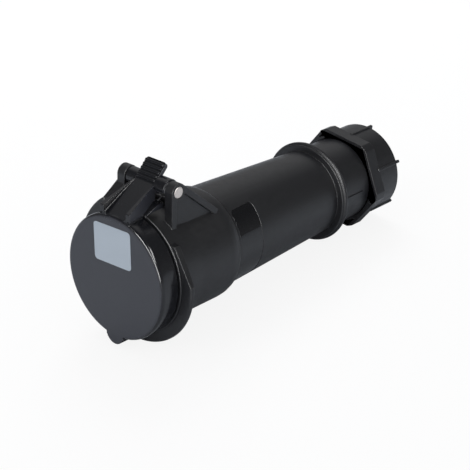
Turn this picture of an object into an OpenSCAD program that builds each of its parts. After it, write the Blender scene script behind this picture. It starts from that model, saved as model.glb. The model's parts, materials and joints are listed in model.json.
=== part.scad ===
// Industrial cable coupler: a three-pole 16 A socket connector with a sprung lid and a cable gland.
// The plug axis lies along Y, with the lid's face at y = 0 and the cable end at +Y.
// The hinge is on top, towards +Z, and all sizes are in millimetres.

/* [Lid] */
// Step from the housing barrel out to the rim of the lid
lid_step = 2.1; // [1.8:0.1:2.8]
// Depth of the lid from its face to the rear edge of its skirt
lid_depth = 9.8; // [9.4:0.1:10.0]
// Rounding of the lid's front edge
lid_round = 1.8; // [1.0:0.1:2.2]
// Half width of the hinge arm where it leaves the lid's face
arm_half = 8.2; // [7.4:0.1:9.0]
// Length of the thumb lever above the hinge
lever_length = 6.4; // [5.0:0.1:7.0]
// Number of grip ridges on the thumb lever
ridge_count = 5; // [3:1:6]

/* [Hinge] */
// Distance of the hinge pin behind the lid's face
pin_y = 20.6; // [20.2:0.1:21.4]
// Height of the hinge pin above the surface of the barrel
pin_rise = 10.4; // [10.0:0.1:11.6]
// Radius of the hinge pin
pin_r = 2.4; // [2.0:0.05:2.6]
// Distance from the middle to the outer face of each hinge ear
ear_out = 15.2; // [14.6:0.1:16.5]
// Width of each hinge ear across the pin
ear_width = 4.2; // [3.4:0.1:4.6]

/* [Housing] */
// Radius of the socket that takes the plug's shroud
socket_r = 22.3; // [21.9:0.1:24.0]
// Wall of the barrel round the socket
barrel_wall = 2.1; // [1.9:0.1:2.6]
// Width of the guard flange behind the lid
flange_width = 6.8; // [5.0:0.1:7.6]
// Distance from the lid's face to the end of the housing
housing_end = 50.0; // [48.0:0.5:58.0]

/* [Handle] */
// Step from the barrel down to the handle
handle_step = 2.4; // [2.0:0.1:3.0]
// Taper of the handle's radius from the housing to the bead ring
handle_taper = 2.9; // [2.0:0.1:3.4]
// Distance from the lid's face to the bead ring
ring_y = 117.3; // [108:0.5:124]
// Height of the bead ring above the handle
ring_height = 3.6; // [3.0:0.1:4.4]
// Step from the handle's end down to the neck
neck_step = 0.4; // [0.2:0.1:1.0]

/* [Gland] */
// Distance from the bead ring to the front face of the gland nut
nut_gap = 23.6; // [20:0.2:30]
// Height of the nut's hexagon corners above the neck
hex_height = 5.2; // [4.8:0.1:6.0]
// Length of the nut's hexagon
hex_length = 6.4; // [5.0:0.1:7.5]
// Wall of the nut's round sleeve, measured from the neck's radius
sleeve_wall = 1.7; // [1.5:0.1:2.2]
// Wall of the rubber seal round the cable
seal_wall = 7.1; // [6.1:0.1:9.6]

/* [Contacts] */
// Distance from the edge of the contact carrier in to the middle of each contact
contact_inset = 8.2; // [7.6:0.1:8.8]
// Radius of the bore in the line and neutral sleeves
line_bore = 2.55; // [2.5:0.01:2.6]
// Radius of the bore in the earth sleeve
earth_bore = 3.05; // [3.0:0.01:3.1]

/* [Hidden] */
$fn = 96;
eps = 0.01;

// clearances
run_gap = 0.05;
seat_gap = 0.05;
slide_gap = 0.1;
lid_gap = 0.3;

// main radii, each from the one inside it
barrel_r = socket_r + barrel_wall;
lid_r = barrel_r + lid_step;
flange_r = barrel_r + flange_width;
handle_r = barrel_r - handle_step;
handle_end_r = handle_r - handle_taper;
ring_r = handle_end_r + ring_height;
neck_r = handle_end_r - neck_step;
hex_r = neck_r + hex_height;
sleeve_r = neck_r + sleeve_wall;
pin_z = barrel_r + pin_rise;

// lid
face_t = 2.4;
pad_t = 1.0;
seal_t = 1.95;
skirt_in = barrel_r + 0.7;
skirt_end_r = lid_r - 0.6;
inner_y = face_t + pad_t;
rim_y = inner_y + seal_t + seat_gap;
nose_r = 4.6;
nose_z = -(lid_r - 1.6);
nose_fillet = 2.4;
label_w = 20.2;
label_h = 16.2;
label_t = 0.12;
label_x = -0.65;
label_z = 13.8;
label_turn = 2.24;

// hinge arm and thumb lever
arm_y = 0.7;
arm_top = lid_r - 1.4;
arm_end_y = pin_y - 3.2;
arm_end_z = pin_z + 1.7;
rail_h = 3.2;
channel_half = 5.0;
waist_half = 5.3;
tip_half = 6.3;
knuckle_r = 3.5;
knuckle_half = ear_out - ear_width - lid_gap;
spring_from = 6.1;
hood_r = 4.1;
hood_in = 3.45;
hood_from = 0;
hood_sweep = 200;
peg_r = 0.8;
peg_y = pin_y - 7;
block_half = 6.0;
block_end = pin_y - 1.2;
lever_rise = 51.5;
lever_t = 2.0;
ridge_h = 0.55;
ridge_w = 0.6;
tip_round = 1.5;
root = [pin_y, pin_z + knuckle_r + 0.2];

// housing
rim_r = barrel_r - 0.5;
lip_r = lid_r + 0.1;
lip_y = lid_depth + 0.4;
lip_t = 0.8;
flange_t = 2.4;
flange_y = lip_y + lip_t;
flange_from = 43;
flange_top = barrel_r - 7.4;
flange_to = 326;
shoulder_len = 6.5;
wall_t = 2;
wall_y = housing_end - 12;
wall_in = socket_r - 2.9;
base_r = handle_r - 0.7;
boss_r = 3.7;
plate_t = 2.6;
web_t = 1.7;
brace_t = 2.6;
brace_angle = 39.6;
brace_len = 27;
key_half = 1.9;
key_depth = socket_r + 2.9;
key_bulge_r = 3.0;
key_bulge_z = socket_r + 1.6;
stop_z = barrel_r + 3.2;
stop_y = pin_y + 4;

// contact carrier
carrier_r = wall_in - 0.2;
carrier_y = rim_y + 1.6;
pitch_r = carrier_r - contact_inset;
carrier_wall = 1.8;
face_disc_t = 3.2;
entry_gap = 0.7;
base_y = wall_y + wall_t + seat_gap;
base_t = 4;
cover_y = base_y + base_t + seat_gap;
cover_t = 3.4;
spigot_in = base_r - 2.8;
cover_r = spigot_in - 0.2;
sleeve_y = carrier_y + face_disc_t;
sleeve_end = cover_y + 11.9;
collar_t = 2.6;
slot_w = 0.8;
slot_len = 20;
clamp_y = sleeve_end - 3.6;
wire_r = 1.8;
screw_r = 1.6;
screw_len = 5.2;
fix_r = pitch_r + 2;
fix_screw_r = 1.5;
fix_head_r = 2.6;
fix_head_h = 1.8;
fix_len = 7.1;

// handle and gland
spigot_y = base_y + base_t + seat_gap;
groove_r = base_r - 1.1;
groove_y = housing_end - 4;
groove_w = 1.4;
shell_t = 2.4;
panel_off = 1.6;
panel_w = 13.6;
panel_h = 33.2;
panel_t = 0.4;
panel_sink = 0.15;
lip_drop = 0.8;
nut_y = ring_y + nut_gap;
thread_r = neck_r - 1.1;
thread_end = nut_y + 8.2;
seat_y = nut_y - 4.5;
throat_t = 2;
nut_len = 19.9;
nut_end = nut_y + nut_len;
nut_turn = 7.5;
rim_t = 1.5;
pocket_depth = 5.2;
inner_wall_r = sleeve_r - 0.2;
fin_t = 1.3;
fin_h = 0.7;
fin_over = 0.9;
basket_t = 1.2;
basket_r = thread_r - 2.2;
seat_r = basket_r - 1.8;
throat_r = seat_r - 4.1;
hole_r = seat_r - 2.6;
cable_r = seat_r - seal_wall;
finger_end = nut_y + 13.1;
finger_count = 12;
ring_t = 0.9;
wall_end_t = 2.8;

// turns a profile of [radius, y] pairs about the plug axis
module turned(points, from = 0, sweep = 360) {
  rotate([-90, 0, 0])
    rotate([0, 0, from])
      rotate_extrude(angle = sweep)
        polygon(points);
}

// round bar along the plug axis
module bar(r, y0, y1) {
  translate([0, y0, 0])
    rotate([-90, 0, 0])
      cylinder(r = r, h = y1 - y0);
}

// round bar across the coupler
module cross_bar(r, x0, x1, y = pin_y, z = pin_z) {
  translate([x0, y, z])
    rotate([0, 90, 0])
      cylinder(r = r, h = x1 - x0);
}

// flat plate in the Y-Z plane from x0 to x1, outline in [y, z]
module side_plate(points, x0, x1) {
  translate([x0, 0, 0])
    rotate([90, 0, 90])
      linear_extrude(x1 - x0)
        polygon(points);
}

// flat plate in the X-Z plane from y0 to y1, outline in [x, z]
module front_plate(y0, y1) {
  translate([0, y1, 0])
    rotate([90, 0, 0])
      linear_extrude(y1 - y0)
        children();
}

// prism that stands upright, outline in [x, y]
module tower(points, z0, z1) {
  translate([0, 0, z0])
    linear_extrude(z1 - z0)
      polygon(points);
}

// rectangle with round corners
module round_rect(w, h, r) {
  square([w - 2 * r, h], center = true);
  square([w, h - 2 * r], center = true);
  for (sx = [-1, 1])
    for (sz = [-1, 1])
      translate([sx * (w / 2 - r), sz * (h / 2 - r)])
        circle(r = r, $fn = 32);
}

// outline of the keyway nose: a lobe under the round body with a hollow flank each side
module nose_outline(grow, body_r) {
  lobe = nose_r + grow;
  swing = body_r + nose_fillet;
  reach = lobe + nose_fillet;
  drop = (swing * swing - reach * reach + nose_z * nose_z) / (2 * -nose_z);
  out = sqrt(swing * swing - drop * drop);
  difference() {
    union() {
      translate([0, nose_z])
        circle(r = lobe, $fn = 64);
      polygon([[0, nose_z + lobe], [-out, -drop], [0, nose_z - 1], [out, -drop]]);
    }
    for (s = [-1, 1])
      translate([s * out, -drop])
        circle(r = nose_fillet, $fn = 48);
  }
}

// the lid and its hinge arm
module lid_body() {
  turned([
    [0, 0], [lid_r - lid_round, 0],
    [lid_r - lid_round * 0.62, lid_round * 0.08],
    [lid_r - lid_round * 0.29, lid_round * 0.29],
    [lid_r - lid_round * 0.08, lid_round * 0.62],
    [lid_r, lid_round],
    [skirt_end_r, lid_depth - 0.4], [skirt_end_r - 0.4, lid_depth], [0, lid_depth]
  ]);
  front_plate(0, lid_depth)
    nose_outline(0, lid_r - 0.2);
}

module arm_plan() {
  tower([
    [-arm_half, arm_y], [arm_half, arm_y], [waist_half, pin_y - 3.2], [waist_half, pin_y],
    [tip_half, pin_y + 4], [tip_half, pin_y + 9], [-tip_half, pin_y + 9], [-tip_half, pin_y + 4],
    [-waist_half, pin_y], [-waist_half, pin_y - 3.2]
  ], 10, 60);
}

module lever() {
  translate([0, root[0], root[1]])
    rotate([lever_rise, 0, 0])
      translate([0, 0, -lever_t])
        linear_extrude(lever_t) {
          translate([-waist_half, -1])
            square([2 * waist_half, 3]);
          polygon([
            [-waist_half, 0], [waist_half, 0], [tip_half, lever_length - tip_round],
            [tip_half - tip_round, lever_length], [-tip_half + tip_round, lever_length],
            [-tip_half, lever_length - tip_round]
          ]);
          for (s = [-1, 1])
            translate([s * (tip_half - tip_round), lever_length - tip_round])
              circle(r = tip_round, $fn = 32);
        }
}

module lever_ridges() {
  step = (lever_length - 1.6) / (ridge_count - 1);
  translate([0, root[0], root[1]])
    rotate([lever_rise, 0, 0])
      for (i = [0 : ridge_count - 1])
        translate([0, 0.5 + i * step, 0])
          side_plate([[-ridge_w / 2, -eps], [ridge_w / 2, -eps], [ridge_w / 4, ridge_h], [-ridge_w / 4, ridge_h]],
            -waist_half + 0.3, waist_half - 0.3);
}

// side outline of the arm: rails on top, the underside stepped up behind the skirt
module arm() {
  intersection() {
    arm_plan();
    side_plate([
      [arm_y, arm_top + rail_h], [arm_y + 0.6, arm_top + rail_h + 0.2], [arm_end_y, arm_end_z + 1.0],
      [root[0], root[1]], [root[0] + 2.6, root[1] - 1.6], [pin_y + 1, pin_z], [arm_end_y + 1, arm_end_z - 4.6],
      [lid_depth + 0.3, arm_top + 4.2], [lid_depth, arm_top - 0.5], [lid_depth - 1, arm_top - 5], [arm_y, arm_top - 5]
    ], -arm_half, arm_half);
  }
}

// channel between the rails, cut down through the lid's upper edge
module arm_channel() {
  slope = (arm_end_z - arm_top) / (arm_end_y - arm_y);
  front = arm_y + 2;
  side_plate([
    [arm_y - front, arm_top - front * slope], [arm_end_y, arm_end_z], [root[0], root[1]],
    [root[0], root[1] + 20], [arm_y - front, root[1] + 20]
  ], -channel_half, channel_half);
}

module hinged_lid() {
  color([0.17, 0.17, 0.18])
    difference() {
      union() {
        difference() {
          union() {
            lid_body();
            arm();
          }
          arm_channel();
        }
        lever();
        lever_ridges();
        cross_bar(knuckle_r, -knuckle_half, spring_from - 0.3);
        // hood over the spring's coil
        translate([spring_from - 0.8, pin_y, pin_z])
          rotate([90, 0, 90])
            rotate([0, 0, hood_from])
              rotate_extrude(angle = hood_sweep)
                translate([hood_in, 0])
                  square([hood_r - hood_in, knuckle_half - spring_from + 0.8]);
        // peg that the spring's leg pulls down
        cross_bar(peg_r, waist_half - 0.5, spring_from + 2.0, peg_y, peg_z);
        // block under the arm that reaches down to the housing
        side_plate([
          [lid_depth - 1, arm_top + 6], [lid_depth - 1, arm_top - 5], [block_end, arm_top - 5],
          [block_end, pin_z - 2], [pin_y, pin_z]
        ], -block_half, waist_half - 0.6);
      }
      // hollow that takes the housing's rim
      bar(skirt_in, inner_y, lid_depth + eps);
      front_plate(inner_y, lid_depth + eps)
        nose_outline(-1.2, lid_r - 0.6);
      // room above the housing's lip
      bar(lip_r + lid_gap, lid_depth, flange_y + 0.6);
      bar(barrel_r + 1.9, flange_y, pin_y + 8);
      // pin bore and gap for the spring
      cross_bar(pin_r + run_gap, -ear_out - 1, ear_out + 1);
    }
}

module seal_outline() {
  circle(r = skirt_in - 0.3);
  nose_outline(-1.5, skirt_in - 0.3);
}

module lid_seal() {
  color([0.09, 0.09, 0.09])
    difference() {
      front_plate(inner_y, inner_y + seal_t)
        seal_outline();
      bar(socket_r - 2.4, inner_y - 1, inner_y + seal_t + 1);
    }
}

module rating_label() {
  color([0.78, 0.83, 0.88])
    translate([label_x, 0, label_z])
      rotate([90, -label_turn, 0])
        linear_extrude(label_t)
          round_rect(label_w, label_h, 1.6);
}

// the hinge pin and its spring
module hinge_pin() {
  color([0.85, 0.85, 0.83])
    difference() {
      cross_bar(pin_r, -ear_out, ear_out);
      for (s = [-1, 1])
        translate([s * ear_out, pin_y, pin_z])
          rotate([0, s * 90, 0])
            rotate_extrude()
              polygon([[pin_r - 0.3, eps], [pin_r + 1, eps], [pin_r + 1, -0.3], [pin_r, -0.3]]);
    }
}

// torsion spring: wire swept along a leg, a coil and a second leg
wire = 0.35;
coil_r = pin_r + wire + 0.2;
coil_from = 275;
coil_to = 198 + 4 * 360;
coil_span = coil_to - coil_from;
leg_a = 8.4;
leg_b = 10.6;
peg_z = pin_z - coil_r - wire - peg_r - 0.9;
coil_n = 90;
coil_start = spring_from + wire + 0.35;
coil_end = ear_out - ear_width - wire - 0.3;
coil_x = [for (i = [0 : coil_n]) coil_start + (coil_end - coil_start) * i / coil_n];
coil_a = [for (i = [0 : coil_n]) coil_from + coil_span * i / coil_n];
wire_sides = 8;

function radial(a) = [0, cos(a), sin(a)];
function along(a) = [0, -sin(a), cos(a)];
function coil_point(i) = [coil_x[i], 0, 0] + coil_r * radial(coil_a[i]);
path = concat(
  [coil_point(0) - leg_a * along(coil_a[0])],
  [for (i = [0 : coil_n]) coil_point(i)],
  [coil_point(coil_n) + leg_b * along(coil_a[coil_n])]
);
path_dir = concat([radial(coil_a[0])], [for (i = [0 : coil_n]) radial(coil_a[i])], [radial(coil_a[coil_n])]);
wire_points = [
  for (k = [0 : len(path) - 1])
    for (j = [0 : wire_sides - 1])
      path[k] + wire * (cos(360 * j / wire_sides) * path_dir[k] + sin(360 * j / wire_sides) * [1, 0, 0])
];
wire_faces = concat(
  [[for (j = [0 : wire_sides - 1]) j]],
  [for (k = [0 : len(path) - 2]) for (j = [0 : wire_sides - 1])
    [k * wire_sides + j, (k + 1) * wire_sides + j, (k + 1) * wire_sides + (j + 1) % wire_sides,
     k * wire_sides + (j + 1) % wire_sides]],
  [[for (j = [wire_sides - 1 : -1 : 0]) (len(path) - 1) * wire_sides + j]]
);

module lid_spring() {
  color([0.7, 0.7, 0.7])
    translate([0, pin_y, pin_z])
      polyhedron(points = wire_points, faces = wire_faces);
}

// the front housing with the two hinge ears
module ear(side) {
  foot = barrel_r - 12.4;
  n = [sin(brace_angle), cos(brace_angle)];
  d = [cos(brace_angle), -sin(brace_angle)];
  start = [pin_y, pin_z] + boss_r * n;
  x0 = side > 0 ? ear_out - ear_width : -ear_out;
  x1 = side > 0 ? ear_out : -ear_out + ear_width;
  web_mid = side * (ear_out - ear_width / 2);
  cross_bar(boss_r, x0, x1);
  // front plate
  side_plate([
    [pin_y - boss_r, pin_z], [pin_y - boss_r, foot], [pin_y - boss_r + plate_t, foot],
    [pin_y - boss_r + plate_t, pin_z]
  ], x0, x1);
  // sloping brace to the rear
  side_plate([start, start + brace_len * d, start + brace_len * d - brace_t * n, start - brace_t * n], x0, x1);
  // recessed web between them
  side_plate([
    [pin_y - 1, pin_z], [pin_y - 1, foot], [pin_y + 12, foot],
    start + (brace_len - 1) * d - brace_t / 2 * n, start - brace_t / 2 * n
  ], web_mid - web_t / 2, web_mid + web_t / 2);
}

module barrel_outside() {
  s = shoulder_len;
  drop = barrel_r - 0.1 - (handle_r - 0.3);
  turned([
    [0, rim_y], [rim_r - 0.5, rim_y], [rim_r, rim_y + 0.8], [barrel_r - 0.1, rim_y + 3.6],
    [barrel_r - 0.1, lip_y], [lip_r - 0.2, lip_y], [lip_r, lip_y + 0.2],
    [lip_r, flange_y - 0.2], [lip_r - 0.6, flange_y], [barrel_r + 0.7, flange_y + 8], [barrel_r, flange_y + 16],
    [barrel_r, housing_end - s],
    [barrel_r - drop * 0.08, housing_end - s * 0.62], [barrel_r - drop * 0.29, housing_end - s * 0.3],
    [barrel_r - drop * 0.62, housing_end - s * 0.08], [handle_r - 0.3, housing_end], [0, housing_end]
  ]);
}

module flange() {
  difference() {
    turned([
      [barrel_r - 1, flange_y - 0.4], [lip_r - 0.4, flange_y - 0.1], [flange_r - 0.9, flange_y + 0.1],
      [flange_r - 0.2, flange_y + 0.4], [flange_r, flange_y + 1.0], [flange_r, flange_y + flange_t - 0.6],
      [flange_r - 0.5, flange_y + flange_t], [barrel_r - 1, flange_y + flange_t + 1.2]
    ], flange_from - 90, flange_to - flange_from);
    // level top edge and straight shoulder of the right end
    front_plate(flange_y - 2, flange_y + flange_t + 3)
      polygon([
        [10, flange_top], [flange_r - 8.9, flange_top], [flange_r - 0.25, 2.2], [flange_r + 4, 2.2],
        [flange_r + 4, flange_r], [10, flange_r]
      ]);
  }
}

module key_outline() {
  translate([0, -key_bulge_z])
    circle(r = key_bulge_r, $fn = 48);
  polygon([
    [-key_bulge_r - 2.4, -key_bulge_z + 1.8], [-key_bulge_r + 0.2, -key_bulge_z - 1.0],
    [key_bulge_r - 0.2, -key_bulge_z - 1.0], [key_bulge_r + 2.4, -key_bulge_z + 1.8]
  ]);
}

module socket_housing() {
  color([0.15, 0.15, 0.16])
    difference() {
      union() {
        barrel_outside();
        flange();
        ear(1);
        ear(-1);
        // gusset from the far ear down to the flange
        intersection() {
          side_plate([
            [pin_y - 2, pin_z - 1.6], [flange_y + 0.6, pin_z - 8.6], [flange_y + 0.6, barrel_r - 6.4],
            [pin_y - 2, barrel_r - 6.4]
          ], -ear_out - 2.4, -ear_out + ear_width);
          tower([
            [-ear_out + 2.2, pin_y], [-ear_out, pin_y - 2], [-ear_out - 2.4, flange_y],
            [-ear_out + ear_width, flange_y], [-ear_out + ear_width, pin_y]
          ], barrel_r - 8.4, pin_z + 5);
        }
        // stop for the open lid
        side_plate([
          [stop_y, barrel_r - 2.4], [stop_y, stop_z - 0.8], [stop_y + 0.8, stop_z], [stop_y + 3.8, stop_z],
          [stop_y + 6.4, barrel_r - 2.4]
        ], -5.5, 5.5);
        // keyway bulge along the underside
        front_plate(rim_y + 0.6, wall_y + wall_t)
          key_outline();
      }
      // socket, wall and rear bore
      turned([
        [0, rim_y - 1], [socket_r + 0.5, rim_y - 1], [socket_r + 0.5, rim_y], [socket_r, rim_y + 0.6], [socket_r, wall_y],
        [wall_in, wall_y], [wall_in, wall_y + wall_t], [base_r, wall_y + wall_t],
        [base_r, housing_end + 1], [0, housing_end + 1]
      ]);
      // seat of the hinge pin in both ears
      cross_bar(pin_r, -ear_out - 1, ear_out + 1);
      // keyway
      translate([-key_half, rim_y - 1, -key_depth])
        cube([2 * key_half, wall_y - rim_y + 1, key_depth - 15]);
    }
}

module housing_seal() {
  color([0.08, 0.08, 0.08])
    turned([
      [groove_r, groove_y + seat_gap], [base_r, groove_y + seat_gap],
      [base_r, groove_y + groove_w - seat_gap], [groove_r, groove_y + groove_w - seat_gap]
    ]);
}

// the contact carrier, sleeves and screws
// angle of each contact from the top, seen from the front
contact_angles = [180, 60, -60];

module at_contact(a) {
  translate([pitch_r * sin(a), 0, pitch_r * cos(a)])
    children();
}

// disc in front of the contacts, with an entry for each pin
module contact_face() {
  color([0.13, 0.13, 0.14])
    difference() {
      turned([
        [0, carrier_y], [carrier_r - 0.8, carrier_y], [carrier_r, carrier_y + 0.8],
        [carrier_r, sleeve_y], [0, sleeve_y]
      ]);
      for (a = contact_angles)
        at_contact(a)
          bar((a == 180 ? earth_bore : line_bore) + entry_gap, carrier_y - 1, sleeve_y + 1);
    }
}

// hollow carrier: a round wall behind the disc and a base that holds the collars of the sleeves
module contact_carrier() {
  front_y = sleeve_y + seat_gap;
  color([0.13, 0.13, 0.14])
    difference() {
      turned([
        [carrier_r - carrier_wall, front_y], [carrier_r, front_y], [carrier_r, base_y], [base_r - seat_gap, base_y],
        [base_r - seat_gap, base_y + base_t], [0, base_y + base_t], [0, base_y], [carrier_r - carrier_wall, base_y]
      ]);
      for (a = contact_angles) {
        bore = a == 180 ? earth_bore : line_bore;
        at_contact(a) {
          bar(bore + 1.75, base_y - 1, base_y + base_t + 1);
          bar(bore + 2.6, base_y + base_t - collar_t, base_y + base_t + 1);
        }
      }
      for (a = [0, 120, 240])
        translate([fix_r * sin(a), 0, fix_r * cos(a)])
          bar(fix_screw_r, base_y - 1, base_y + base_t + 1);
    }
}

module sleeve(bore) {
  r = bore + 1.05;
  difference() {
    union() {
      bar(r, sleeve_y + seat_gap, sleeve_end);
      bar(r + 1.4, base_y + base_t - collar_t + seat_gap, base_y + base_t - eps);
    }
    bar(bore, sleeve_y - 1, sleeve_y + 24);
    bar(wire_r, cover_y + 3, sleeve_end + 1);
    for (q = [0, 90])
      translate([0, sleeve_y - 1, 0])
        rotate([0, q, 0])
          translate([-slot_w / 2, 0, -r - 1])
            cube([slot_w, slot_len + 1, 2 * r + 2]);
  }
}

module clamp_hole(a) {
  translate([pitch_r * sin(a), clamp_y, pitch_r * cos(a)])
    rotate([0, a, 0])
      cylinder(r = screw_r, h = 12);
}

module contact(a, bore) {
  difference() {
    at_contact(a)
      sleeve(bore);
    clamp_hole(a);
  }
}

module earth_sleeve() {
  color([0.78, 0.66, 0.35])
    contact(180, earth_bore);
}

module line_sleeve() {
  color([0.78, 0.66, 0.35])
    contact(60, line_bore);
}

module neutral_sleeve() {
  color([0.78, 0.66, 0.35])
    contact(-60, line_bore);
}

module sleeve_rings() {
  color([0.75, 0.75, 0.75])
    for (a = contact_angles) {
      bore = a == 180 ? earth_bore : line_bore;
      at_contact(a)
        turned([
          [bore + 1.05 + eps, sleeve_y + 3], [bore + 1.65, sleeve_y + 3],
          [bore + 1.65, sleeve_y + 9], [bore + 1.05 + eps, sleeve_y + 9]
        ], 20, 320);
    }
}

module terminal_screws() {
  color([0.8, 0.8, 0.78])
    for (a = contact_angles)
      translate([pitch_r * sin(a), clamp_y, pitch_r * cos(a)])
        rotate([0, a, 0])
          translate([0, 0, 0.6])
            difference() {
              cylinder(r = screw_r - eps, h = screw_len);
              translate([-0.3, -3, screw_len - 0.9])
                cube([0.6, 6, 2]);
            }
}

module terminal_cover() {
  color([0.2, 0.2, 0.21])
    difference() {
      turned([
        [0, cover_y], [cover_r, cover_y], [cover_r, cover_y + cover_t - 0.6],
        [cover_r - 0.6, cover_y + cover_t], [0, cover_y + cover_t]
      ]);
      for (a = contact_angles) {
        bore = a == 180 ? earth_bore : line_bore;
        at_contact(a)
          bar(bore + 1.05 + slide_gap, cover_y - 1, cover_y + cover_t + 1);
      }
      for (a = [0, 120, 240])
        translate([fix_r * sin(a), 0, fix_r * cos(a)])
          bar(fix_screw_r + slide_gap, cover_y - 1, cover_y + cover_t + 1);
    }
}

module carrier_screws() {
  color([0.8, 0.8, 0.78])
    for (a = [0, 120, 240])
      translate([fix_r * sin(a), 0, fix_r * cos(a)])
        difference() {
          union() {
            bar(fix_screw_r - eps, cover_y - fix_len + cover_t + 0.4, cover_y + cover_t);
            bar(fix_head_r, cover_y + cover_t, cover_y + cover_t + fix_head_h);
          }
          for (q = [0, 90])
            translate([0, cover_y + cover_t + fix_head_h, 0])
              rotate([0, q, 0])
                cube([3.4, 2, 0.7], center = true);
        }
}

// the handle
module handle_outside() {
  r = ring_r;
  y = ring_y;
  turned([
    [0, spigot_y], [base_r - seat_gap, spigot_y], [base_r - seat_gap, housing_end],
    [handle_r, housing_end], [handle_end_r, y],
    [handle_end_r + 2.2, y], [r - lip_drop, y + 0.2], [r - lip_drop, y + 0.9], [r - lip_drop - 0.5, y + 1.1],
    [r - 0.55, y + 1.4], [r - 0.15, y + 1.8], [r, y + 2.4], [r - 0.15, y + 3.0], [r - 0.6, y + 3.6],
    [r - 1.4, y + 4.2], [neck_r + 0.9, y + 4.6], [neck_r + 0.3, y + 4.9], [neck_r, y + 5.6],
    [neck_r, nut_y - 0.5], [neck_r - 0.4, nut_y], [thread_r, nut_y], [thread_r, thread_end - 0.6],
    [thread_r - 0.6, thread_end], [0, thread_end]
  ]);
}

module handle_shell() {
  color([0.15, 0.15, 0.16])
    difference() {
      handle_outside();
      turned([
        [0, spigot_y - 1], [spigot_in, spigot_y - 1], [spigot_in, housing_end + 1], [handle_r - shell_t, housing_end + 3],
        [handle_end_r - shell_t, ring_y - 4], [neck_r - 3.6, ring_y + 2], [neck_r - 3.6, seat_y - throat_t - 3],
        [throat_r, seat_y - throat_t], [throat_r, seat_y], [seat_r, seat_y], [seat_r, thread_end + 1], [0, thread_end + 1]
      ]);
      // groove for the ring seal
      turned([[groove_r, groove_y], [base_r + 1, groove_y], [base_r + 1, groove_y + groove_w], [groove_r, groove_y + groove_w]]);
      // shallow pocket for the name panel
      panel_band(panel_sink + panel_t, -1);
      // mould line along the neck
      rotate([0, 87, 0])
        translate([-0.2, ring_y + 8, neck_r - 0.25])
          cube([0.4, nut_gap - 12.5, 1]);
    }
}

module panel_band(low, high) {
  intersection() {
    turned([
      [handle_r - low, housing_end], [handle_end_r - low, ring_y],
      [handle_end_r - high, ring_y], [handle_r - high, housing_end]
    ]);
    translate([0, housing_end + panel_off + panel_w / 2, 0])
      rotate([0, 90, 0])
        linear_extrude(40)
          round_rect(panel_h, panel_w, 1.8);
  }
}

module name_panel() {
  color([0.1, 0.1, 0.1])
    panel_band(panel_sink + panel_t, panel_sink);
}

// the cable gland
module gland_seal() {
  color([0.1, 0.1, 0.1])
    turned([
      [cable_r + 1, seat_y + seat_gap], [seat_r - seat_gap, seat_y + seat_gap],
      [seat_r - seat_gap, finger_end - 1.6], [seat_r - 1.6, finger_end], [cable_r + 1, finger_end],
      [cable_r, finger_end - 1], [cable_r, seat_y + 1 + seat_gap]
    ]);
}

module clamp_basket() {
  y0 = thread_end + seat_gap;
  color([0.24, 0.24, 0.25])
    difference() {
      turned([
        [seat_r, y0], [basket_r, y0], [basket_r, y0 + basket_t], [basket_r - 0.6, finger_end - 1.4],
        [basket_r - 1.4, finger_end], [seat_r - 0.6, finger_end], [seat_r, finger_end - 1.8]
      ]);
      for (i = [0 : finger_count - 1])
        rotate([0, i * 360 / finger_count, 0])
          translate([-0.6, y0 + basket_t, seat_r - 1])
            cube([1.2, finger_end - y0, basket_r - seat_r + 2]);
    }
}

module slip_ring() {
  y1 = nut_end - wall_end_t - seat_gap;
  color([0.8, 0.8, 0.78])
    turned([[hole_r + 0.6, y1 - ring_t], [basket_r + 0.2, y1 - ring_t], [basket_r + 0.2, y1], [hole_r + 0.6, y1]]);
}

module hexagon(r, y0, y1) {
  translate([0, y0, 0])
    rotate([-90, 0, 0])
      cylinder(r = r, h = y1 - y0, $fn = 6);
}

module nut_outside() {
  y = nut_y;
  intersection() {
    hexagon(hex_r, y, y + hex_length);
    bar(hex_r - 0.9, y, y + hex_length);
  }
  turned([
    [0, y + 0.3], [inner_wall_r - 0.5, y + 0.3], [inner_wall_r + 0.2, y + 1], [inner_wall_r + 0.2, y + hex_length],
    [sleeve_r, nut_end - 0.8], [sleeve_r - 0.8, nut_end], [0, nut_end]
  ]);
  for (i = [0 : 5])
    rotate([0, i * 60, 0])
      difference() {
        translate([-fin_t / 2, y + hex_length - 1, sleeve_r - 2])
          cube([fin_t, nut_len - hex_length + 1 + fin_over, 2 + fin_h]);
        translate([-5, nut_end - 0.8, sleeve_r - 3])
          cube([10, 3, 2]);
      }
}

module gland_nut() {
  y = nut_y;
  color([0.15, 0.15, 0.16])
    rotate([0, nut_turn, 0])
      difference() {
        nut_outside();
        // cored corners of the hexagon
        difference() {
          hexagon(hex_r - rim_t * 1.155, y - 1, y + pocket_depth);
          bar(inner_wall_r, y - 2, y + hex_length);
        }
        // bore for the thread, room for the neck and cable hole
        turned([
          [0, y - 1], [neck_r + slide_gap, y - 1], [neck_r + slide_gap, y + 3.4], [thread_r + slide_gap, y + 3.9],
          [thread_r + slide_gap, y + 13.6], [basket_r + 0.8, y + 14.6], [basket_r + 0.8, nut_end - wall_end_t],
          [hole_r, nut_end - wall_end_t], [hole_r, nut_end - 0.6], [hole_r + 0.6, nut_end], [hole_r + 0.6, nut_end + 2],
          [0, nut_end + 2]
        ]);
      }
}

socket_housing();
handle_shell();
name_panel();
hinged_lid();
lid_seal();
rating_label();
hinge_pin();
lid_spring();
contact_face();
contact_carrier();
terminal_cover();
carrier_screws();
earth_sleeve();
line_sleeve();
neutral_sleeve();
sleeve_rings();
terminal_screws();
housing_seal();
gland_seal();
clamp_basket();
slip_ring();
gland_nut();
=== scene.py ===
"""Dresses the cable coupler's solids with moulded plastic, metal and film, and sets the stage for its picture."""
import json
import math

import bmesh
import bpy
from bpy.props import FloatProperty, FloatVectorProperty, PointerProperty
from bpy.types import Operator, Panel, PropertyGroup
from mathutils import Matrix, Vector
from mathutils.bvhtree import BVHTree


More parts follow.
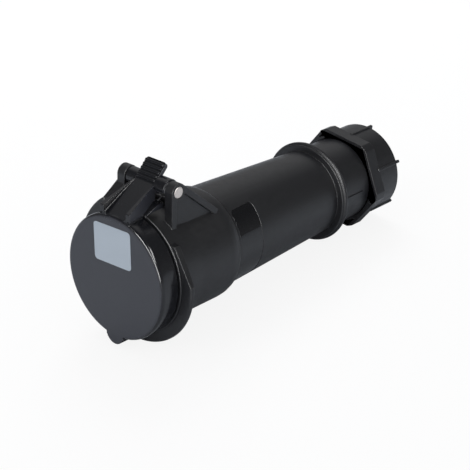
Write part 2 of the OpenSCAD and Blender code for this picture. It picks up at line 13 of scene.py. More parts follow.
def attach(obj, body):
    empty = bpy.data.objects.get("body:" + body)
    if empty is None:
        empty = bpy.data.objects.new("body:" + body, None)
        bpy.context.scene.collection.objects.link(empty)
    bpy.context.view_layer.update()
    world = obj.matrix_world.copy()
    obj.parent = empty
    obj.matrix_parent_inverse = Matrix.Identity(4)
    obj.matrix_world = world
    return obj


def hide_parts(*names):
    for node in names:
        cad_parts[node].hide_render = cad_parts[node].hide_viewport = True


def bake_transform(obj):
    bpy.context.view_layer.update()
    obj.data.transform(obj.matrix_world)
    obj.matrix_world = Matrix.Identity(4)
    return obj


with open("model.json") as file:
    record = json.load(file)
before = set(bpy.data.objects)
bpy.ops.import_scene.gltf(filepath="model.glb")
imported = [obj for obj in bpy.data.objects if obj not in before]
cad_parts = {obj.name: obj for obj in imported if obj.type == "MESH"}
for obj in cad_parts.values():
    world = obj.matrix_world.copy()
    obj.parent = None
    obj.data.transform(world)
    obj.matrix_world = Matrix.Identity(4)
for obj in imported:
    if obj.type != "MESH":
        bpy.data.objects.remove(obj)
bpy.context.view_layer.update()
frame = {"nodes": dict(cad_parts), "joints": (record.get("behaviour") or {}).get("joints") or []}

bl_info = {
    "name": "Cable Coupler Dresser",
    "version": (1, 0, 0),
    "blender": (4, 5, 0),
    "location": "View3D > Sidebar > Coupler",
    "description": "Finishes an industrial cable coupler: rounded mouldings, pin, spring, film label and stage",
    "category": "Object",
}

# X is across the coupler, Y runs back from the lid's face and Z is up. Sizes are in millimetres, HINGE in metres.
MM = 0.001
NODES = frame["nodes"]
JOINTS = {joint["name"]: joint for joint in frame["joints"]}
HINGE = Vector(JOINTS["lid_hinge"]["pos_m"])

# mesh work: doubles in metres, angles in degrees, and how far a corner may leave its solid, in rounding widths
WELD = 2e-6
FLAT = 0.3
SMOOTH = 50.0
SHARP = 24.0
SHARP_PROFILE = 40.0
STRAY = 0.5
FLAT_FACE_WEIGHT = 60

# the lid and the arm that rises from it to the lever
LID_R = 26.5
LID_DEPTH = 9.8
ARM_START = 0.7
ARM_REAR = 18.0
LEVER_FOOT = Vector((0.0, 17.35, 36.55))
LEVER_TIP = Vector((0.0, 23.8, 43.45))
FLOOR_HEIGHTS = (26.0, LEVER_FOOT.z - 0.15)
RAIL_HEIGHTS = (29.25, LEVER_FOOT.z)
OUTER_HALVES = (8.2, 5.25)
INNER_HALVES = (6.0, 4.9)
LEAST_RAIL = 0.1
CHANNEL_FILLET, FILLET_SHARE = 0.8, 0.7
ARM_UNDERSIDE = (
    (ARM_START, 25.6), (LID_DEPTH - 0.1, 25.6), (LID_DEPTH, 26.95), (13.0, 27.3), (LEVER_FOOT.y, 28.0),
    (ARM_REAR, 28.1))

# the solid's plainer arm comes off above the lid's rim and behind its skirt
ROOM_HALF, ROOM_REAR, ROOM_TOP, ROOM_LOW = 12.0, 30.0, 46.0, 20.0
CUT_GAP = 0.02
OLD_ARM = (
    ((-ROOM_HALF, -1.0, LID_R + CUT_GAP), (ROOM_HALF, LID_DEPTH + 0.1, ROOM_TOP)),
    ((-ROOM_HALF, LID_DEPTH + CUT_GAP, ROOM_LOW), (ROOM_HALF, ROOM_REAR, ROOM_TOP)))

# the lid's rounded rim in front of the arm, as depth and radius, and how far it reaches to each side in degrees
RIM = (
    (0.3, 24.0), (0.01, 24.72), (0.15, 25.38), (0.52, 25.98), (1.12, 26.36), (1.8, LID_R), (3.2, 26.48), (3.2, 24.0))
RIM_REACH, RIM_STEP = 18, 2

# the wing beside the arm, as depth and height, and how much it drops towards its tip
WING = ((9.6, 25.4), (9.6, 26.5), (16.2, 29.4), (19.6, 29.5), (19.6, 27.3), (11.6, 26.9))
WING_ROOT, WING_TIP, WING_DROP = 5.0, 8.0, 0.25

# the knuckle on the pin and the hood over the spring
KNUCKLE_R = 3.5
KNUCKLE_ENDS = (-10.6, 5.2)
KNUCKLE_SIDES = 72
HOOD_RADII = (3.45, 4.1)
HOOD_ENDS = (5.0, 10.6)
HOOD_FACETS, HOOD_STEP = 37, 5.0

# the thumb lever's plate and its ridges, as places along and above its face
LEVER_THICK = 1.9
LEVER_HALVES = (5.2, 5.35)
LEVER_TUCK = 1.6
LEVER_CORNER = 1.5
RIDGES, RIDGE_PITCH, FIRST_RIDGE = 5, 1.78, 1.45
RIDGE = ((-0.62, -0.2), (-0.44, 0.5), (0.44, 0.5), (0.62, -0.2))
RIDGE_ENDS = (-5.1, 4.7)

# the spring's wire and coil, with its angles in degrees
WIRE_R, COIL_R = 0.35, 2.95
COIL_ENDS = (6.8, 10.35)
COIL_ANGLES = (298.0, 198.0 + 4 * 360.0)
COIL_STEPS = 24
PEG_LEG, BARREL_LEG, LEG_STEPS = 5.0, 10.6, 6

# plain colours and the grain's depth and size
INSERT_GREY = (0.035, 0.035, 0.037)
RUBBER = (0.012, 0.012, 0.012)
RING_STEEL = (0.55, 0.55, 0.56)
DARK_WIRE = (0.10, 0.10, 0.105)
SCREW_STEEL = (0.6, 0.6, 0.58)
DUST_GREY = (0.06, 0.06, 0.062)
GRAIN, GRAIN_SIZE = 0.02 * MM, 0.22 * MM

# the stage, in metres: the floor under the flange and its tone in reflections, and the lamps' places and sizes;
# each glint strip has its direction, the way that its long side runs, its size and its share of the power
FLOOR_AT = Vector((0.0, 12.5, -31.25)) * MM
FLOOR_GLOW = 0.88
GLEAM = (0.62, 0.66, 0.72)
MIDDLE = Vector((0.0, 60.0, 0.0)) * MM
PANEL_WAY = (-0.5, 0.45, 0.74)
KEY_FAR, GLINT_FAR = 0.85, 1.1
FILL_AT = (-0.15, -0.8, 0.5)
SOFT_BOX = (0.5, 0.4)
GLINTS = (
    ("front glint", (0.419, -0.804, 0.422), (0.761, -0.045, -0.844), (1.5, 0.3), 1.0),
    ("right glint", (0.735, -0.070, 0.675), (0.238, -0.856, -0.347), (0.9, 0.16), 0.3))


# settings
class CouplerFinish(PropertyGroup):
    """Colours and finishes of the mouldings and the metal."""

    plastic: FloatVectorProperty(
        name="Plastic", description="Colour of the black mouldings", subtype="COLOR", size=3,
        min=0.0, max=1.0, default=(0.0088, 0.0094, 0.0122))
    # the lid face's satin colour, also painted on the arm's right-facing flank as painted light
    lid_face: FloatVectorProperty(
        name="Lid face", description="Colour of the lid's satin face", subtype="COLOR", size=3,
        min=0.0, max=1.0, default=(0.0330, 0.0355, 0.0460))
    film: FloatVectorProperty(
        name="Label film", description="Colour of the bare label film", subtype="COLOR", size=3,
        min=0.0, max=1.0, default=(0.395, 0.455, 0.525))
    steel: FloatVectorProperty(
        name="Pin steel", description="Colour of the hinge pin", subtype="COLOR", size=3,
        min=0.0, max=1.0, default=(0.78, 0.73, 0.70))
    brass: FloatVectorProperty(
        name="Brass", description="Colour of the contact sleeves", subtype="COLOR", size=3,
        min=0.0, max=1.0, default=(0.72, 0.52, 0.24))
    satin: FloatProperty(
        name="Satin roughness", description="Roughness of the spark-eroded surfaces", subtype="FACTOR",
        min=0.0, max=1.0, default=0.40)
    gloss: FloatProperty(
        name="Gloss roughness", description="Roughness of the polished surfaces", subtype="FACTOR",
        min=0.0, max=1.0, default=0.16)
    edge: FloatProperty(
        name="Edge rounding", description="Radius of the mouldings' small edges", subtype="DISTANCE",
        unit="LENGTH", min=0.0, max=0.001, default=0.00025)


class CouplerStage(PropertyGroup):
    """Light, floor and camera."""

    floor: FloatVectorProperty(
        name="Floor", description="Colour of the floor", subtype="COLOR", size=3,
        min=0.0, max=1.0, default=(0.9, 0.91, 0.93))
    tilt: FloatProperty(
        name="Floor tilt", description="Slope of the floor under the resting coupler", subtype="ANGLE",
        unit="ROTATION", min=-0.3, max=0.3, default=math.radians(3.9))
    sky: FloatProperty(
        name="Sky light", description="Strength of the even light from all round", min=0.0, max=2.0, default=0.6)
    key: FloatProperty(
        name="Key lamp", description="Power of the large lamp above, behind and to the left", subtype="POWER",
        unit="POWER", min=0.0, max=100.0, default=3.4)
    fill: FloatProperty(
        name="Fill lamp", description="Power of the lamp in front of the lid", subtype="POWER",
        unit="POWER", min=0.0, max=100.0, default=1.6)
    glint: FloatProperty(
        name="Glint strips", description="Power of the narrow strips that only show as glints on round edges",
        subtype="POWER", unit="POWER", min=0.0, max=100.0, default=26.0)
    lens: FloatProperty(
        name="Lens", description="Focal length of the camera on a 36 mm sensor", subtype="DISTANCE_CAMERA",
        min=20.0, max=300.0, default=114.894)
    place: FloatVectorProperty(
        name="Camera place", description="Where the camera stands", subtype="TRANSLATION", unit="LENGTH", size=3,
        default=(0.379936, -0.363905, 0.267921))
    azimuth: FloatProperty(
        name="Camera azimuth", description="Side of the coupler that the camera looks at, counted from X",
        subtype="ANGLE", unit="ROTATION", default=math.radians(-48.8935))
    elevation: FloatProperty(
        name="Camera elevation", description="Slope at which the camera looks down", subtype="ANGLE",
        unit="ROTATION", default=math.radians(25.3152))
    roll: FloatProperty(
        name="Camera roll", description="Turn of the picture about the view", subtype="ANGLE",
        unit="ROTATION", default=math.radians(1.5422))


# mesh helpers
def clear_selection():
    """Leaves edit mode and selects nothing."""
    if bpy.context.object and bpy.context.object.mode != "OBJECT":
        bpy.ops.object.mode_set(mode="OBJECT")
    bpy.ops.object.select_all(action="DESELECT")


def pick(obj):
    """Makes one object the only selected and active one."""
    clear_selection()
    obj.select_set(True)
    bpy.context.view_layer.objects.active = obj


def linked(name, data):
    """A new object in the scene around a mesh, a curve, a lamp or a camera."""
    obj = bpy.data.objects.new(name, data)
    bpy.context.scene.collection.objects.link(obj)
    return obj


def apply_all(obj):
    """Applies every modifier in order."""
    pick(obj)
    for modifier in list(obj.modifiers):
        bpy.ops.object.modifier_apply(modifier=modifier.name)


def finished(obj, name, material, body, nodes=()):
    """Names a piece, settles its place in its mesh, gives it its material and lets it ride on its body, if any."""
    obj.name = name
    obj.data.name = name
    obj.data.materials.clear()
    obj.data.materials.append(material)
    pick(obj)
    bpy.ops.object.transform_apply(location=True, rotation=True, scale=True)
    bpy.ops.object.shade_smooth_by_angle(angle=math.radians(SMOOTH))
    level = obj.modifiers.new("flat faces", "WEIGHTED_NORMAL")
    level.keep_sharp = True
    level.weight = FLAT_FACE_WEIGHT
    apply_all(obj)
    if body:
        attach(obj, body)
    if nodes:
        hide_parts(*nodes)
    return obj


def rounded(node, name, width, segments, cuts):
    """A copy of a solid with its facets merged, boxes cut out of it and its sharp edges rounded."""
    obj = linked(name, NODES[node].data.copy())
    pick(obj)
    bpy.ops.object.mode_set(mode="EDIT")
    bpy.ops.mesh.select_all(action="SELECT")
    bpy.ops.mesh.remove_doubles(threshold=WELD)
    bpy.ops.mesh.dissolve_limited(angle_limit=math.radians(FLAT))
    bpy.ops.object.mode_set(mode="OBJECT")
    for low, high in cuts:
        cut_box(obj, low, high)
    round_edges(obj, width, segments=segments)
    return obj


def cut_box(obj, low, high):
    """Takes a box, given by two corners, out of a piece."""
    low, high = Vector(low) * MM, Vector(high) * MM
    clear_selection()
    bpy.ops.mesh.primitive_cube_add(size=1.0, location=(low + high) / 2, scale=high - low)
    box = bpy.context.object
    cut = obj.modifiers.new("cut", "BOOLEAN")
    cut.operation = "DIFFERENCE"
    cut.solver = "EXACT"
    cut.object = box
    apply_all(obj)
    bpy.data.objects.remove(box)


def round_edges(obj, width, sharp=SHARP, segments=3):
    """Rounds a piece's sharp edges; corners that this throws off the solid are brought back onto it."""
    mesh = bmesh.new()
    mesh.from_mesh(obj.data)
    tree = BVHTree.FromBMesh(mesh)
    mesh.free()
    box = [(min(side), max(side)) for side in zip(*(vert.co for vert in obj.data.vertices))]
    bevel = obj.modifiers.new("edge", "BEVEL")
    bevel.width = width
    bevel.segments = segments
    bevel.limit_method = "ANGLE"
    bevel.angle_limit = math.radians(sharp)
    bevel.use_clamp_overlap = False
    bevel.miter_outer = "MITER_ARC"
    apply_all(obj)
    for vert in obj.data.vertices:
        place, _, _, away = tree.find_nearest(vert.co)
        if away > width * STRAY:
            vert.co = place
        vert.co = [min(max(value, low), high) for value, (low, high) in zip(vert.co, box)]
    obj.data.update()


def loft(name, sections):
    """A closed solid through rings of points, all with the same number of points."""
    clear_selection()
    bpy.ops.mesh.primitive_circle_add(vertices=len(sections[0]), fill_type="NGON")
    obj = bpy.context.object
    obj.name = name
    bpy.ops.object.mode_set(mode="EDIT")
    bpy.ops.mesh.select_mode(type="FACE")
    bpy.ops.mesh.select_all(action="SELECT")
    mesh = bmesh.from_edit_mesh(obj.data)
    for vert, point in zip(mesh.faces[:][0].verts, sections[0]):
        vert.co = Vector(point) * MM
    bmesh.update_edit_mesh(obj.data)
    for before, section in zip(sections, sections[1:]):
        bpy.ops.mesh.extrude_region_move()
        mesh = bmesh.from_edit_mesh(obj.data)
        ring = [vert for vert in mesh.verts if vert.select]
        for point, target in zip(before, section):
            nearest = min(ring, key=lambda vert: (vert.co - Vector(point) * MM).length)
            ring.remove(nearest)
            nearest.co = Vector(target) * MM
        bmesh.update_edit_mesh(obj.data)
    bpy.ops.mesh.select_all(action="SELECT")
    bpy.ops.mesh.normals_make_consistent(inside=False)
    bpy.ops.object.mode_set(mode="OBJECT")
    put_in_order(obj.data)
    return obj


def put_in_order(mesh):
    """Lists a mesh's own faces by their corners, because extruding lists them in another order at each run."""
    points = [vert.co.copy() for vert in mesh.vertices]
    rings = [list(face.vertices) for face in mesh.polygons]
    firsts = [ring.index(min(ring)) for ring in rings]
    mesh.clear_geometry()
    mesh.from_pydata(points, [], sorted(ring[first:] + ring[:first] for ring, first in zip(rings, firsts)))


def joined(name, parts):
    """One piece out of several that touch."""
    pick(parts[0])
    for part in parts[1:]:
        part.select_set(True)
    bpy.ops.object.join()
    bpy.context.object.name = name
    return bpy.context.object


def between(ends, share):
    """The value at a share of the way between two."""
    return ends[0] + (ends[1] - ends[0]) * share


def about_pin(x, radius, angle):
    """A point round the hinge pin, at an angle in radians counted from Y."""
    return x, HINGE.y / MM + radius * math.cos(angle), HINGE.z / MM + radius * math.sin(angle)


# materials
class Wiring:
    """Adds nodes to one node tree and links them."""

    def __init__(self, tree):
        self.nodes = tree.nodes
        self.link = tree.links.new

    def add(self, kind, **sockets):
        """A new node with values at its inputs."""
        node = self.nodes.new(kind)
        for key, value in sockets.items():
            node.inputs[key].default_value = value
        return node

    def texture(self, kind, where, **sockets):
        """The pattern of a Noise or a Voronoi texture that reads a place."""
        node = self.add("ShaderNodeTex" + kind, **sockets)
        self.link(where, node.inputs["Vector"])
        return node.outputs["Fac" if kind == "Noise" else "Distance"]

    def ranged(self, source, given, wanted, interpolation="LINEAR"):
        """Maps a value from a given range to a wanted one."""
        node = self.add("ShaderNodeMapRange")
        node.interpolation_type = interpolation
        for key, value in zip(("From Min", "From Max", "To Min", "To Max"), (*given, *wanted)):
            node.inputs[key].default_value = value
        self.link(source, node.inputs["Value"])
        return node.outputs["Result"]

    def mixed(self, factor, low, high, kind="RGBA"):
        """A mix of two colours, or of two numbers with kind FLOAT; each is a value or another node's output."""
        node = self.add("ShaderNodeMix")
        node.data_type = kind
        self.link(factor, node.inputs["Factor"])
        for key, value in (("A", low), ("B", high)):
            if isinstance(value, bpy.types.NodeSocket):
                self.link(value, node.inputs[key])
            else:
                node.inputs[key].default_value = value if kind == "FLOAT" else (*value, 1.0)
        return node.outputs["Result"]

    def combined(self, operation, first, second):
        """Two outputs joined by a sum, a product or the like."""
        node = self.add("ShaderNodeMath")
        node.operation = operation
        self.link(first, node.inputs[0])
        self.link(second, node.inputs[1])
        return node.outputs["Value"]

    def parts(self, source):
        """The X, Y and Z of a direction or a place."""
        node = self.add("ShaderNodeSeparateXYZ")
        self.link(source, node.inputs["Vector"])
        return node.outputs["X"], node.outputs["Y"], node.outputs["Z"]

    def raised(self, height, strength, depth, surface):
        """Raises a surface's grain by a pattern."""
        bump = self.add("ShaderNodeBump", Strength=strength, Distance=depth)
        self.link(height, bump.inputs["Height"])
        self.link(bump.outputs["Normal"], surface.inputs["Normal"])


def shader(name):
    """A new node material: returns it, the wiring of its tree and its surface shader."""
    material = bpy.data.materials.new(name)
    material.use_nodes = True
    return material, Wiring(material.node_tree), material.node_tree.nodes["Principled BSDF"]


def moulded(name, color, rough, grain=GRAIN, face=None):
    """Black moulded plastic: flow clouding, spark-eroded grain, faint scuffs and a few specks of dust.

    With face, a colour and a roughness, the lid's flat front takes that satin finish; the arm's right-facing flank
    takes it too, as painted light that makes that one side lighter, and all the rest is polished.
    """
    material, wiring, surface = shader(name)
    ranged, mixed = wiring.ranged, wiring.mixed
    where = wiring.add("ShaderNodeTexCoord").outputs["Object"]
    cloud = wiring.texture("Noise", where, Scale=45.0, Detail=4.0, Roughness=0.55)
    fine = wiring.texture("Noise", where, Scale=1.0 / GRAIN_SIZE, Detail=3.0, Roughness=0.6)
    smear = wiring.texture("Noise", where, Scale=380.0, Detail=5.0, Roughness=0.65)
    dust = wiring.texture("Voronoi", where, Scale=420.0, Randomness=1.0)

    tone = mixed(cloud, *(tuple(part * share for part in color) for share in (0.92, 1.08)))
    gleam = ranged(smear, (0.3, 0.7), (rough - 0.04, rough + 0.04))
    if face:
        face_color, face_rough = face
        x, y, z = wiring.parts(where)
        sideways = wiring.parts(wiring.add("ShaderNodeNewGeometry").outputs["Normal"])[0]
        front = ranged(y, (0.12 * MM, 0.5 * MM), (1.0, 0.0))
        # painted light: the arm's right-facing flank gets the lighter satin colour, so that one side renders lighter
        painted_lit_flank = ranged(sideways, (0.7, 0.85), (0.0, 1.0))
        for limit in (ranged(z, ((LID_R - 1.0) * MM, LID_R * MM), (0.0, 1.0)),
                      ranged(x, (0.0, 0.5 * MM), (0.0, 1.0))):
            painted_lit_flank = wiring.combined("MULTIPLY", painted_lit_flank, limit)
        # the lid's front keeps its own satin finish; on the right flank the same lighter colour is painted light
        satin = wiring.combined("MAXIMUM", front, painted_lit_flank)
        tone = mixed(satin, tone, face_color)
        gleam = mixed(satin, gleam, ranged(smear, (0.3, 0.7), (face_rough - 0.03, face_rough + 0.03)), "FLOAT")
    speck = ranged(dust, (0.02, 0.06), (0.5, 0.0))
    wiring.link(mixed(speck, tone, DUST_GREY), surface.inputs["Base Color"])
    wiring.link(gleam, surface.inputs["Roughness"])
    wiring.raised(fine, 0.3, grain, surface)
    surface.inputs["IOR"].default_value = 1.5
    return material


def turned_metal(name, color, rough, stretch=(1.0, 1.0, 1.0), metallic=1.0):
    """Metal with fine tool marks and a soft tarnish."""
    material, wiring, surface = shader(name)
    where = wiring.add("ShaderNodeTexCoord").outputs["Object"]
    place = wiring.add("ShaderNodeMapping", Scale=stretch)
    wiring.link(where, place.inputs["Vector"])
    marks = wiring.texture("Noise", place.outputs["Vector"], Scale=900.0, Detail=4.0, Roughness=0.6)
    tarnish = wiring.texture("Noise", where, Scale=260.0, Detail=3.0)
    tone = wiring.mixed(tarnish, tuple(part * 0.82 for part in color), color)
    wiring.link(tone, surface.inputs["Base Color"])
    wiring.link(wiring.ranged(marks, (0.3, 0.7), (rough - 0.08, rough + 0.08)), surface.inputs["Roughness"])
    wiring.raised(marks, 0.25, 0.02 * MM, surface)
    surface.inputs["Metallic"].default_value = metallic
    return material


def film(name, color):
    """Label film with nothing on it: an even coat with a faint grain."""
    material, wiring, surface = shader(name)
    where = wiring.add("ShaderNodeTexCoord").outputs["Object"]
    mottle = wiring.texture("Noise", where, Scale=140.0, Detail=4.0)
    tone = wiring.mixed(mottle, *(tuple(part * share for part in color) for share in (0.95, 1.04)))
    wiring.link(tone, surface.inputs["Base Color"])
    wiring.link(wiring.ranged(mottle, (0.0, 1.0), (0.36, 0.46)), surface.inputs["Roughness"])
    wiring.raised(mottle, 0.15, 0.01 * MM, surface)
    return material


FINISHES = {}


def finish_named(name):
    """The material of that name, made the first time it is asked for."""
    if name not in FINISHES:
        look = bpy.context.scene.coupler_finish
        plastic = tuple(look.plastic)
        lid_face = (tuple(look.lid_face), look.satin - 0.02)
        maker, *settings = {
            "satin black": (moulded, plastic, look.satin),
            "lid black": (moulded, plastic, look.gloss, GRAIN, lid_face),
            "gloss black": (moulded, tuple(part * 0.6 for part in plastic), look.gloss * 0.4, GRAIN * 0.2),
            "insert grey": (moulded, INSERT_GREY, 0.5),
            "seal rubber": (moulded, RUBBER, 0.62, GRAIN * 1.5),
            "pin steel": (turned_metal, tuple(look.steel), 0.42, (1.0, 1.0, 1.0), 0.6),
            "spring steel": (turned_metal, RING_STEEL, 0.3),
            "dark wire": (turned_metal, DARK_WIRE, 0.38),
            "screw steel": (turned_metal, SCREW_STEEL, 0.35),
            "sleeve brass": (turned_metal, tuple(look.brass), 0.28, (1.0, 8.0, 1.0)),
            "label film": (film, tuple(look.film)),
        }[name]
        FINISHES[name] = maker(name, *settings)
    return FINISHES[name]


# pieces
def shape(node, name, finish, body, width, segments=3, cuts=()):
    """Stands a rounded copy of a solid in its place."""
    name = name.replace(" ", "_")
    piece = rounded(node, name, width, segments, cuts)
    return finished(piece, name, finish_named(finish), body, (node,))


def arm_ring(depth, under):
    """The arm's outline at a depth: round underside, solid flanks and a filleted channel between two rails."""
    share = (depth - ARM_START) / (LEVER_FOOT.y - ARM_START)
    outer, inner = between(OUTER_HALVES, share), between(INNER_HALVES, share)
    floor = between(FLOOR_HEIGHTS, share)
    rail = max(between(RAIL_HEIGHTS, share), floor + LEAST_RAIL)
    fillet = min(CHANNEL_FILLET, (rail - floor) * FILLET_SHARE)
    half = [(x, math.sqrt(under * under - x * x)) for x in (outer * 0.5, outer)] + [(outer, rail), (inner, rail)]
    for turn in (math.radians(30 * step) for step in range(4)):
        half.append((inner - fillet * (1 - math.cos(turn)), floor + fillet * (1 - math.sin(turn))))
    half.append((inner * 0.45, floor))
    return [(x, depth, z) for x, z in half] + [(-x, depth, z) for x, z in reversed(half)]


def hinge_arm(edge):
    """The arm, the lid's rim in front of it, the wing beside it, the knuckle on the pin and the spring's hood."""
    arm = loft("arm", [arm_ring(depth, under) for depth, under in ARM_UNDERSIDE])
    round_edges(arm, edge * 0.9, SHARP_PROFILE)
    rim_turns = [math.radians(turn) for turn in range(-RIM_REACH, RIM_REACH + 1, RIM_STEP)]
    rim = loft("rim", [[(r * math.sin(turn), y, r * math.cos(turn)) for y, r in RIM] for turn in rim_turns])
    wing = loft("wing", [[(x, y, z - WING_DROP * (x - WING_ROOT)) for y, z in WING] for x in (WING_ROOT, WING_TIP)])
    round_edges(wing, edge)
    turns = [2 * math.pi * side / KNUCKLE_SIDES for side in range(KNUCKLE_SIDES)]
    knuckle = loft("knuckle", [[about_pin(x, KNUCKLE_R, turn) for turn in turns] for x in KNUCKLE_ENDS])
    round_edges(knuckle, edge)
    (inner, outer), (start, end) = HOOD_RADII, HOOD_ENDS
    hood_turns = [math.radians(HOOD_STEP * facet) for facet in range(1, HOOD_FACETS + 1)]
    hood_side = ((start, inner), (start, outer), (end, outer), (end, inner))
    hood = loft("hood", [[about_pin(x, r, turn) for x, r in hood_side] for turn in hood_turns])
    round_edges(hood, edge * 0.7, SHARP_PROFILE)
    return joined("hinge_arm", [arm, rim, wing, knuckle, hood])


def thumb_lever(edge):
    """The lever's plate with round corners and the grip ridges across its face."""
    along = (LEVER_TIP - LEVER_FOOT).normalized()
    length = (LEVER_TIP - LEVER_FOOT).length
    out = Vector((0.0, -along.z, along.y))
    foot_half, tip_half = LEVER_HALVES

    def at(x, far, high):
        return Vector((x, 0.0, 0.0)) + LEVER_FOOT + along * far + out * high

    stations = [(-LEVER_TUCK, foot_half), (0.0, foot_half)]
    for turn in (math.radians(15 * step) for step in range(7)):
        stations.append((length - LEVER_CORNER * (1 - math.sin(turn)), tip_half - LEVER_CORNER * (1 - math.cos(turn))))
    corners = ((-1, 0.0), (1, 0.0), (1, -LEVER_THICK), (-1, -LEVER_THICK))
    plate = loft("plate", [[at(side * half, far, high) for side, high in corners] for far, half in stations])
    round_edges(plate, edge * 0.8, SHARP_PROFILE)
    parts = [plate]
    for number in range(RIDGES):
        middle = length - FIRST_RIDGE - RIDGE_PITCH * number
        bar = loft("ridge", [[at(x, middle + far, high) for far, high in RIDGE] for x in RIDGE_ENDS])
        round_edges(bar, edge * 0.9, 30.0)
        parts.append(bar)
    return joined("thumb_lever", parts)


def coil_point(share):
    """The point at a share of the spring's coil, from the pin's middle, and the way the wire runs there."""
    angle = math.radians(between(COIL_ANGLES, share))
    x = between(COIL_ENDS, share)
    ahead = Vector((0.0, -math.sin(angle), math.cos(angle)))
    return Vector((x, COIL_R * math.cos(angle), COIL_R * math.sin(angle))), ahead


def wind_spring():
    """The lid's torsion spring: a leg under the lid's peg, four turns round the pin and a leg on the barrel."""
    count = int((COIL_ANGLES[1] - COIL_ANGLES[0]) / 360.0 * COIL_STEPS)
    coil = [coil_point(step / count)[0] for step in range(count + 1)]
    (head, head_way), (tail, tail_way) = coil_point(0.0), coil_point(1.0)
    points = [head - head_way * PEG_LEG * step / LEG_STEPS for step in range(LEG_STEPS, 0, -1)] + coil
    points += [tail + tail_way * BARREL_LEG * step / LEG_STEPS for step in range(1, LEG_STEPS + 1)]
    curve = bpy.data.curves.new("lid_spring_wire", "CURVE")
    curve.dimensions = "3D"
    curve.bevel_depth = WIRE_R * MM
    curve.bevel_resolution = 4
    curve.use_fill_caps = True
    spline = curve.splines.new("POLY")
    spline.points.add(len(points) - 1)
    for knot, point in zip(spline.points, points):
        knot.co = (*(point * MM + HINGE), 1.0)
    pick(linked("lid_spring_wire", curve))
    bpy.ops.object.convert(target="MESH")
    spring = bpy.context.object
    bpy.ops.object.mode_set(mode="EDIT")
    bpy.ops.mesh.select_all(action="SELECT")
    bpy.ops.mesh.remove_doubles(threshold=WELD)
    bpy.ops.mesh.normals_make_consistent(inside=False)
    bpy.ops.object.mode_set(mode="OBJECT")
    finished(spring, "lid_spring_wire", finish_named("dark wire"), None, ("lid_spring",))
    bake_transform(spring)


class COUPLER_OT_mouldings(Operator):
    """Round the edges of the housing, the handle and the nut"""

    bl_idname = "coupler.mouldings"
    bl_label = "Mouldings"

    def execute(self, context):
        edge = context.scene.coupler_finish.edge
        for node, name, body in (
                ("socket_housing", "housing moulding", "housing"), ("handle_shell", "handle moulding", "housing"),
                ("gland_nut", "nut moulding", "nut")):
            shape(node, name, "satin black", body, edge)
        shape("name_panel", "bare name panel", "gloss black", "housing", 0.08 * MM)
        return {"FINISHED"}


class COUPLER_OT_lid(Operator):
    """Round the lid's edges, raise its arm and lever and lay the bare label film on its face"""

    bl_idname = "coupler.lid"
    bl_label = "Lid and Label"

    def execute(self, context):
        edge = context.scene.coupler_finish.edge
        shape("hinged_lid", "lid moulding", "lid black", "lid", edge, cuts=OLD_ARM)
        finished(hinge_arm(edge), "hinge_arm", finish_named("lid black"), "lid")
        finished(thumb_lever(edge), "thumb_lever", finish_named("lid black"), "lid")
        shape("rating_label", "bare label film", "label film", "lid", 0.04 * MM, segments=2)
        shape("lid_seal", "lid gasket", "seal rubber", "lid", 0.2 * MM)
        return {"FINISHED"}


class COUPLER_OT_insert(Operator):
    """Round the edges of the contact insert, the seals and the clamping basket"""

    bl_idname = "coupler.insert"
    bl_label = "Insert and Seals"

    def execute(self, context):
        for node, name, width in (
                ("contact_face", "contact face", 0.25), ("contact_carrier", "contact carrier", 0.2),
                ("terminal_cover", "terminal cover", 0.2), ("clamp_basket", "clamping basket", 0.1)):
            shape(node, name, "insert grey", "housing", width * MM)
        for node, name in (("housing_seal", "ring seal"), ("gland_seal", "cable seal")):
            shape(node, name, "seal rubber", "housing", 0.3 * MM)
        return {"FINISHED"}


class COUPLER_OT_metal(Operator):
    """Round the pin, the screws and the contact sleeves, and wind the spring"""

    bl_idname = "coupler.metal"
    bl_label = "Metal Parts"

    def execute(self, context):
        shape("hinge_pin", "hinge pin", "pin steel", "housing", 0.12 * MM)
        for finish, nodes in (
                ("sleeve brass", ("earth_sleeve", "line_sleeve", "neutral_sleeve")),
                ("screw steel", ("carrier_screws", "terminal_screws")), ("spring steel", ("sleeve_rings",))):
            for node in nodes:
                shape(node, node, finish, "housing", 0.1 * MM, segments=2)
        shape("slip_ring", "slip ring", "screw steel", "ring", 0.15 * MM)
        wind_spring()
        return {"FINISHED"}


# stage
def lay_floor(stage):
    """A wide white floor that slopes as the coupler rests on its flange and its nut."""
    clear_selection()
    bpy.ops.mesh.primitive_plane_add(size=6.0, location=(0, 0, 0))
    floor = bpy.context.object
    floor.name = "floor"
    floor.matrix_world = Matrix.Translation(FLOOR_AT) @ Matrix.Rotation(stage.tilt, 4, "X")
    material, wiring, surface = shader("white floor")
    surface.inputs["Roughness"].default_value = 0.9
    path = wiring.add("ShaderNodeLightPath").outputs
    tone = wiring.mixed(path["Is Glossy Ray"], tuple(stage.floor), GLEAM)
    wiring.link(tone, surface.inputs["Base Color"])
    glow = wiring.add("ShaderNodeEmission", Strength=1.0)
    blend = wiring.add("ShaderNodeMixShader")
    wiring.link(wiring.ranged(path["Is Camera Ray"], (0.0, 1.0), (0.0, FLOOR_GLOW)), blend.inputs["Fac"])
    wiring.link(surface.outputs["BSDF"], blend.inputs[1])
    wiring.link(glow.outputs["Emission"], blend.inputs[2])
    wiring.link(blend.outputs["Shader"], wiring.nodes["Material Output"].inputs["Surface"])
    floor.data.materials.append(material)


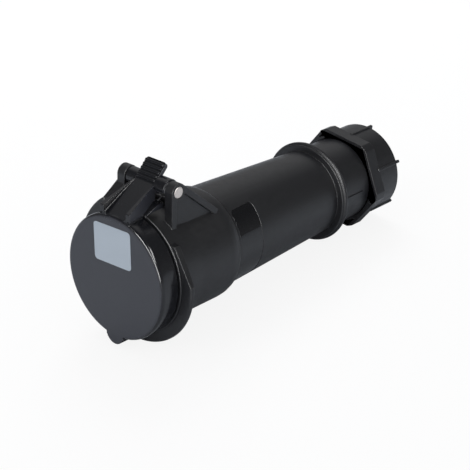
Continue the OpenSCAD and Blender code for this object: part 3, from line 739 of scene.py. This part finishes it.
def light_sky(stage):
    """Even light all round; glancing rays meet a dim studio with one broad panel above, behind and to the left."""
    world = bpy.data.worlds.new("studio")
    bpy.context.scene.world = world
    world.use_nodes = True
    wiring = Wiring(world.node_tree)
    background = wiring.nodes["Background"]
    background.inputs["Color"].default_value = (1, 1, 1, 1)
    path = wiring.add("ShaderNodeLightPath").outputs
    where = wiring.add("ShaderNodeTexCoord").outputs["Generated"]
    toward = wiring.add("ShaderNodeVectorMath")
    toward.operation = "DOT_PRODUCT"
    toward.inputs[1].default_value = PANEL_WAY
    wiring.link(where, toward.inputs[0])
    panel = wiring.ranged(toward.outputs["Value"], (0.72, 1.0), (0.0, 0.52), "SMOOTHSTEP")
    haze = wiring.ranged(wiring.parts(where)[2], (0.0, 0.5), (0.25, 0.11))
    studio = wiring.combined("ADD", haze, panel)
    light = wiring.mixed(path["Is Glossy Ray"], stage.sky, studio, "FLOAT")
    wiring.link(wiring.mixed(path["Is Camera Ray"], light, 1.0, "FLOAT"), background.inputs["Strength"])


def area_lamp(name, place, size, power):
    """A soft rectangular lamp."""
    data = bpy.data.lights.new(name, "AREA")
    data.shape = "RECTANGLE"
    data.size, data.size_y = size
    data.energy = power
    lamp = linked(name, data)
    lamp.location = place
    lamp.rotation_mode = "QUATERNION"
    return lamp


def set_lamps(stage):
    """A key lamp behind and above, a fill in front, and strips whose glints draw the round edges."""
    for name, place, power in (
            ("key lamp", MIDDLE + Vector(PANEL_WAY) * KEY_FAR, stage.key),
            ("fill lamp", Vector(FILL_AT), stage.fill)):
        lamp = area_lamp(name, place, SOFT_BOX, power)
        lamp.rotation_quaternion = (MIDDLE - place).to_track_quat("-Z", "Y")
        lamp.visible_glossy = False
    for name, way, across, size, share in GLINTS:
        away = Vector(way).normalized()
        along = (Vector(across) - away * away.dot(Vector(across))).normalized()
        glint = area_lamp(name, away * GLINT_FAR, size, stage.glint * share)
        glint.rotation_quaternion = Matrix((along, away.cross(along), away)).transposed().to_quaternion()
        glint.visible_diffuse = False


def set_camera(stage):
    """The camera at the photograph's place."""
    data = bpy.data.cameras.new("camera")
    data.lens = stage.lens
    data.sensor_width = 36.0
    data.clip_start, data.clip_end = 0.05, 50.0
    camera = linked("camera", data)
    quarter = math.pi / 2
    camera.matrix_world = (
        Matrix.Translation(stage.place) @ Matrix.Rotation(stage.azimuth + quarter, 4, "Z")
        @ Matrix.Rotation(quarter - stage.elevation, 4, "X") @ Matrix.Rotation(stage.roll, 4, "Z"))
    bpy.context.scene.camera = camera


class COUPLER_OT_stage(Operator):
    """Lay the floor and set the lamps, the sky and the camera"""

    bl_idname = "coupler.stage"
    bl_label = "Stage"

    def execute(self, context):
        stage = context.scene.coupler_stage
        lay_floor(stage)
        light_sky(stage)
        set_lamps(stage)
        set_camera(stage)
        context.scene.view_settings.view_transform = "Standard"
        return {"FINISHED"}


OPERATORS = (COUPLER_OT_mouldings, COUPLER_OT_lid, COUPLER_OT_insert, COUPLER_OT_metal, COUPLER_OT_stage)


class COUPLER_PT_panel(Panel):
    """Lists the pieces and their settings"""

    bl_idname = "COUPLER_PT_panel"
    bl_label = "Cable Coupler"
    bl_space_type = "VIEW_3D"
    bl_region_type = "UI"
    bl_category = "Coupler"

    def draw(self, context):
        for group in (context.scene.coupler_finish, context.scene.coupler_stage):
            box = self.layout.box()
            for key in group.__annotations__:
                box.prop(group, key)
        for operator in OPERATORS:
            self.layout.operator(operator.bl_idname)


CLASSES = (CouplerFinish, CouplerStage, *OPERATORS, COUPLER_PT_panel)


def register():
    for cls in CLASSES:
        bpy.utils.register_class(cls)
    bpy.types.Scene.coupler_finish = PointerProperty(type=CouplerFinish)
    bpy.types.Scene.coupler_stage = PointerProperty(type=CouplerStage)


def unregister():
    del bpy.types.Scene.coupler_stage
    del bpy.types.Scene.coupler_finish
    for cls in reversed(CLASSES):
        bpy.utils.unregister_class(cls)


def main():
    register()
    bpy.ops.coupler.mouldings()
    bpy.ops.coupler.lid()
    bpy.ops.coupler.insert()
    bpy.ops.coupler.metal()
    bpy.ops.coupler.stage()


if __name__ == "__main__":
    main()
